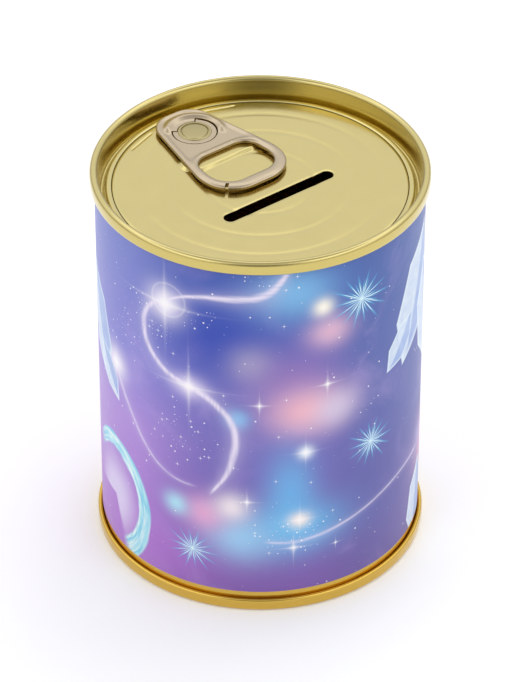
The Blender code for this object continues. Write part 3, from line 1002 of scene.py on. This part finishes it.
def panel_relief(x, y):
    """Height of the pressed panel above its flat level, in metres."""
    radius = math.hypot(x, y)
    height = 0.0
    for ring in PANEL_RINGS:
        height -= 0.07 * MM * bead(radius - ring, 0.8 * MM)
    pad = oblong_distance(x, y - PAD_Y, PAD_HALF_LENGTH, PAD_HALF_WIDTH)
    height += PAD_RISE * smooth_step(-pad, -0.50 * MM, 0.50 * MM)
    slot = oblong_distance(x, y - SLOT_Y, SLOT_HALF_LENGTH, SLOT_HALF_WIDTH)
    height -= 0.07 * MM * (1 - smooth_step(slot, 0.0, 0.7 * MM))
    height -= 0.14 * MM * score_mark(abs(x), y)
    height -= 0.12 * MM * smooth_step(radius, PANEL_RADIUS - 0.3 * MM, PANEL_RADIUS)
    return height


def score_mark(x, y):
    """A short straight score on each side of the tab's nose."""
    start = Vector((7.5 * MM, 30.8 * MM))
    end = Vector((14.6 * MM, 28.3 * MM))
    run = end - start
    point = Vector((x, y)) - start
    along = max(0.0, min(1.0, point.dot(run) / run.length_squared))
    return bead((point - run * along).length, 0.22 * MM)


def build_lid_panel(material):
    """A finely divided disc, pressed into relief, then cut for the coin slot and the rivet."""
    rings = 150
    line = [(PANEL_RADIUS * (1 - index / rings), PANEL_MID) for index in range(rings)]
    line.append((0.0, PANEL_MID))
    panel = turned("lid_panel", line, steps=400)
    apply_modifiers(panel)
    for vertex in panel.data.vertices:
        vertex.co.z += panel_relief(vertex.co.x, vertex.co.y)
    thicken(panel, PLATE)
    fillet = SLOT_HALF_WIDTH * 0.999
    slot_outline = rounded_outline(mirrored([(SLOT_HALF_LENGTH, SLOT_HALF_WIDTH, fillet),
                                             (SLOT_HALF_LENGTH, -SLOT_HALF_WIDTH, fillet)]))
    slot = plate("slot_cutter", [slot_outline], 3 * MM)
    slot.location = (0, SLOT_Y, PANEL_MID)
    hole = plate("hole_cutter", [circle(0, RIVET_HOLE_R)], 3 * MM)
    hole.location = (0, RIVET_Y, PANEL_MID)
    subtract(panel, slot, hole)
    shade(panel, 50)
    finish_piece(panel, "panel", "gold_lacquer", material, "tear_panel")


# ================================================================ rivet, tongue and tab
def build_rivet(material):
    """A low head with a groove inside its rim, a shank, and a foot under the panel."""
    head = RIVET_HIGH.x
    top = web_height(RIVET_Y) + 0.12 * MM
    under = TONGUE_HIGH.z + 0.12 * MM
    flange_top = PANEL_LOW.z + 0.06 * MM
    rim = arc((head - 0.28 * MM, top - 0.30 * MM), 0.28 * MM, 90, -20, 8)
    dish = [(0.0, top - 0.02 * MM), (2.5 * MM, top - 0.06 * MM), (2.85 * MM, top - 0.10 * MM),
            (3.0 * MM, top - 0.26 * MM), (3.12 * MM, top - 0.26 * MM), (3.22 * MM, top)]
    line = dish + rim + [(head - 0.1 * MM, under), (2.0 * MM, under), (2.0 * MM, flange_top),
                         (2.5 * MM, flange_top), (2.5 * MM, RIVET_LOW.z), (0.0, RIVET_LOW.z)]
    rivet = turned("rivet", line, steps=72)
    rivet.location.y = RIVET_Y
    apply_modifiers(rivet)
    shade(rivet)
    finish_piece(rivet, "panel", "gold_lacquer", material, "tab_rivet")


def web_height(y):
    """Top of the tab's web at a distance y along the tab, while the tab lies down."""
    slope = (TAB_AXIS.y - y) * math.sin(TAB_TILT)
    return PANEL_TOP + TAB_FLOAT + slope + TAB_THICKNESS - WEB_SINK


def build_tongue(material):
    """A raised collar round the rivet, level with the tab's web, and a strip that runs
    under the tab's nose."""
    strip = 3.6 * MM
    join = math.degrees(math.asin(strip / SLIT_INNER_R))
    outline = arc((0, RIVET_Y), SLIT_INNER_R, 90 + join, 450 - join, 90)
    outline += [(strip, TONGUE_HIGH.y), (-strip, TONGUE_HIGH.y)]
    tongue = plate("tongue", [outline, circle(RIVET_Y, RIVET_HOLE_R)], PLATE, 0.05 * MM, 1)
    remesh(tongue, 0.08 * MM)
    middle = (TONGUE_LOW.z + TONGUE_HIGH.z) / 2
    collar_rise = web_height(RIVET_Y) - PLATE / 2 - middle - 0.06 * MM
    for vertex in tongue.data.vertices:
        x, y, _ = vertex.co
        radius = math.hypot(x, y - RIVET_Y)
        turn = math.degrees(math.atan2(y - RIVET_Y, x)) % 360
        if turn < SLIT_START - 45:
            turn += 360
        collar = smooth_step(radius, 2.5 * MM, 3.8 * MM)
        collar *= smooth_step(turn, SLIT_START, SLIT_START + 3)
        collar *= smooth_step(turn, SLIT_END, SLIT_END - 3)
        vertex.co.z += middle + collar_rise * collar
    shade(tongue)
    finish_piece(tongue, "panel", "tab_metal", material, "tab_tongue")


def remesh(piece, size):
    """Even small faces all over, slightly smoothed."""
    remesher = piece.modifiers.new("Remesh", "REMESH")
    remesher.mode = "VOXEL"
    remesher.voxel_size = size
    remesher.adaptivity = 0
    smoother = piece.modifiers.new("Smooth", "SMOOTH")
    smoother.factor = 0.5
    smoother.iterations = 3
    apply_modifiers(piece)


def tab_outline():
    return rounded_outline(mirrored([(6.1 * MM, 33.1 * MM, 5.8 * MM),
                                     (7.3 * MM, 27.0 * MM, 10.0 * MM),
                                     (10.95 * MM, 8.5 * MM, 11.0 * MM),
                                     (10.2 * MM, -1.3 * MM, 8.4 * MM)]))


def finger_hole():
    return rounded_outline(mirrored([(7.8 * MM, 14.7 * MM, 4.2 * MM),
                                     (8.4 * MM, 8.0 * MM, 6.0 * MM),
                                     (7.8 * MM, 2.1 * MM, 5.2 * MM)]))


def outline_distance(point, outline):
    """Distance from a point to a closed outline."""
    best = 1.0
    for start, end in zip(outline, outline[1:] + outline[:1]):
        ax, ay = start
        dx = end[0] - ax
        dy = end[1] - ay
        length = dx * dx + dy * dy
        t = 0.0
        if length:
            t = max(0.0, min(1.0, ((point[0] - ax) * dx + (point[1] - ay) * dy) / length))
        best = min(best, math.hypot(point[0] - ax - t * dx, point[1] - ay - t * dy))
    return best


def rivet_opening():
    """Outline of the hole in the tab's web: wide along the slit, and close to the rivet
    on the nose's side, where the tongue is joined to the web."""
    near = RIVET_HIGH.x + 0.12 * MM
    wide = arc((0, RIVET_Y), SLIT_OUTER_R, SLIT_START, SLIT_END, 90)
    close = arc((0, RIVET_Y), near, SLIT_END, SLIT_START + 360, 30)
    return wide + close


def curl_notch():
    """The gap where the ends of the curled edge meet, at one corner of the ring."""
    angle = math.radians(222)
    out = Vector((math.cos(angle), math.sin(angle)))
    side = Vector((-out.y, out.x)) * 0.36 * MM
    inner = Vector((-7.3 * MM, 2.5 * MM))
    outer = inner + out * 4 * MM
    return [tuple(inner - side), tuple(outer - side), tuple(outer + side),
            tuple(inner + side)]


def tab_rib(x, y):
    """Height of the rib pressed round the rivet, open on the left and towards the ring."""
    radius = math.hypot(x, y - RIVET_Y)
    turn = math.degrees(math.atan2(y - RIVET_Y, x))
    from_middle = abs(turn - 55)
    along = smooth_step(from_middle, 102, 76)
    return RIB_HEIGHT * bead(radius - RIB_RADIUS, RIB_HALF_WIDTH) * along


def build_tab(material):
    """The ring-pull: curled edges round a thin web, pressed with a rib beside the rivet."""
    outer = tab_outline()
    hole = finger_hole()
    tab = plate("pull_tab_ring", [outer, hole], TAB_THICKNESS, TAB_EDGE, 6)
    opening = plate("opening_cutter", [rivet_opening()], 3 * TAB_THICKNESS)
    notch = plate("notch_cutter", [curl_notch()], 3 * TAB_THICKNESS)
    subtract(tab, opening, notch)
    remesh(tab, 0.10 * MM)
    half = TAB_THICKNESS / 2
    for vertex in tab.data.vertices:
        x, y, z = vertex.co
        edge = min(outline_distance((x, y), outer), outline_distance((x, y), hole) + 0.1 * MM)
        in_web = smooth_step(edge, 0.45 * MM, 1.7 * MM) * smooth_step(y, 13.0 * MM, 16.5 * MM)
        crown = 0.16 * MM * (1 - smooth_step(edge, 0.2 * MM, 1.5 * MM))
        top = half - crown - WEB_SINK * in_web + tab_rib(x, y) * in_web
        if z > 0:
            vertex.co.z = z * top / half
        else:
            hollow = smooth_step(edge, 0.75 * MM, 1.05 * MM) * in_web
            vertex.co.z = z * (1 - hollow) + (top - WEB_THICKNESS) * hollow
    tilt = Euler((-TAB_TILT, 0, 0)).to_matrix().to_4x4()
    rest_height = PANEL_TOP + TAB_FLOAT + half - TAB_AXIS.z
    shift = Matrix.Translation((0, -TAB_AXIS.y, rest_height))
    tab.data.transform(Matrix.Translation(TAB_AXIS) @ tilt @ shift)
    shade(tab, 60)
    finish_piece(tab, "tab", "tab_metal", material, "pull_tab")


# ================================================================ the object
def dress_compounds():
    """The sealing compounds keep their CAD shapes, which are hidden inside the seams."""
    material = compound_material()
    for name in ("top_seam_compound", "bottom_seam_compound"):
        node = frame["nodes"][name]
        node.data.materials.clear()
        node.data.materials.append(material)


add_camera()
add_walls()
add_key_light()
add_floor()
bpy.context.scene.view_settings.view_transform = "Standard"

# each metal's second colour is a darker painted shade for surfaces that face sideways or down
pale_gold = lacquered_metal("gold_lacquer", colour=(0.670, 0.562, 0.220),
                            shaded_side_colour=(0.590, 0.475, 0.138), roughness=0.19, coat=0.75)
deep_gold = lacquered_metal("deep_gold", colour=(0.760, 0.500, 0.090),
                            shaded_side_colour=(0.680, 0.440, 0.070), roughness=0.20, coat=0.35)
rivet_gold = lacquered_metal("rivet_gold", colour=(0.470, 0.400, 0.185),
                             shaded_side_colour=(0.330, 0.270, 0.110), roughness=0.34, coat=0.5)
tab_beige = lacquered_metal("tab_metal", colour=(0.560, 0.455, 0.315),
                            shaded_side_colour=(0.360, 0.255, 0.105), roughness=0.28, coat=0.6)

build_body(deep_gold)
build_base_end(deep_gold)
build_lid_ring(pale_gold)
build_label(label_material())
build_lid_panel(pale_gold)
build_rivet(rivet_gold)
build_tongue(tab_beige)
build_tab(tab_beige)
dress_compounds()
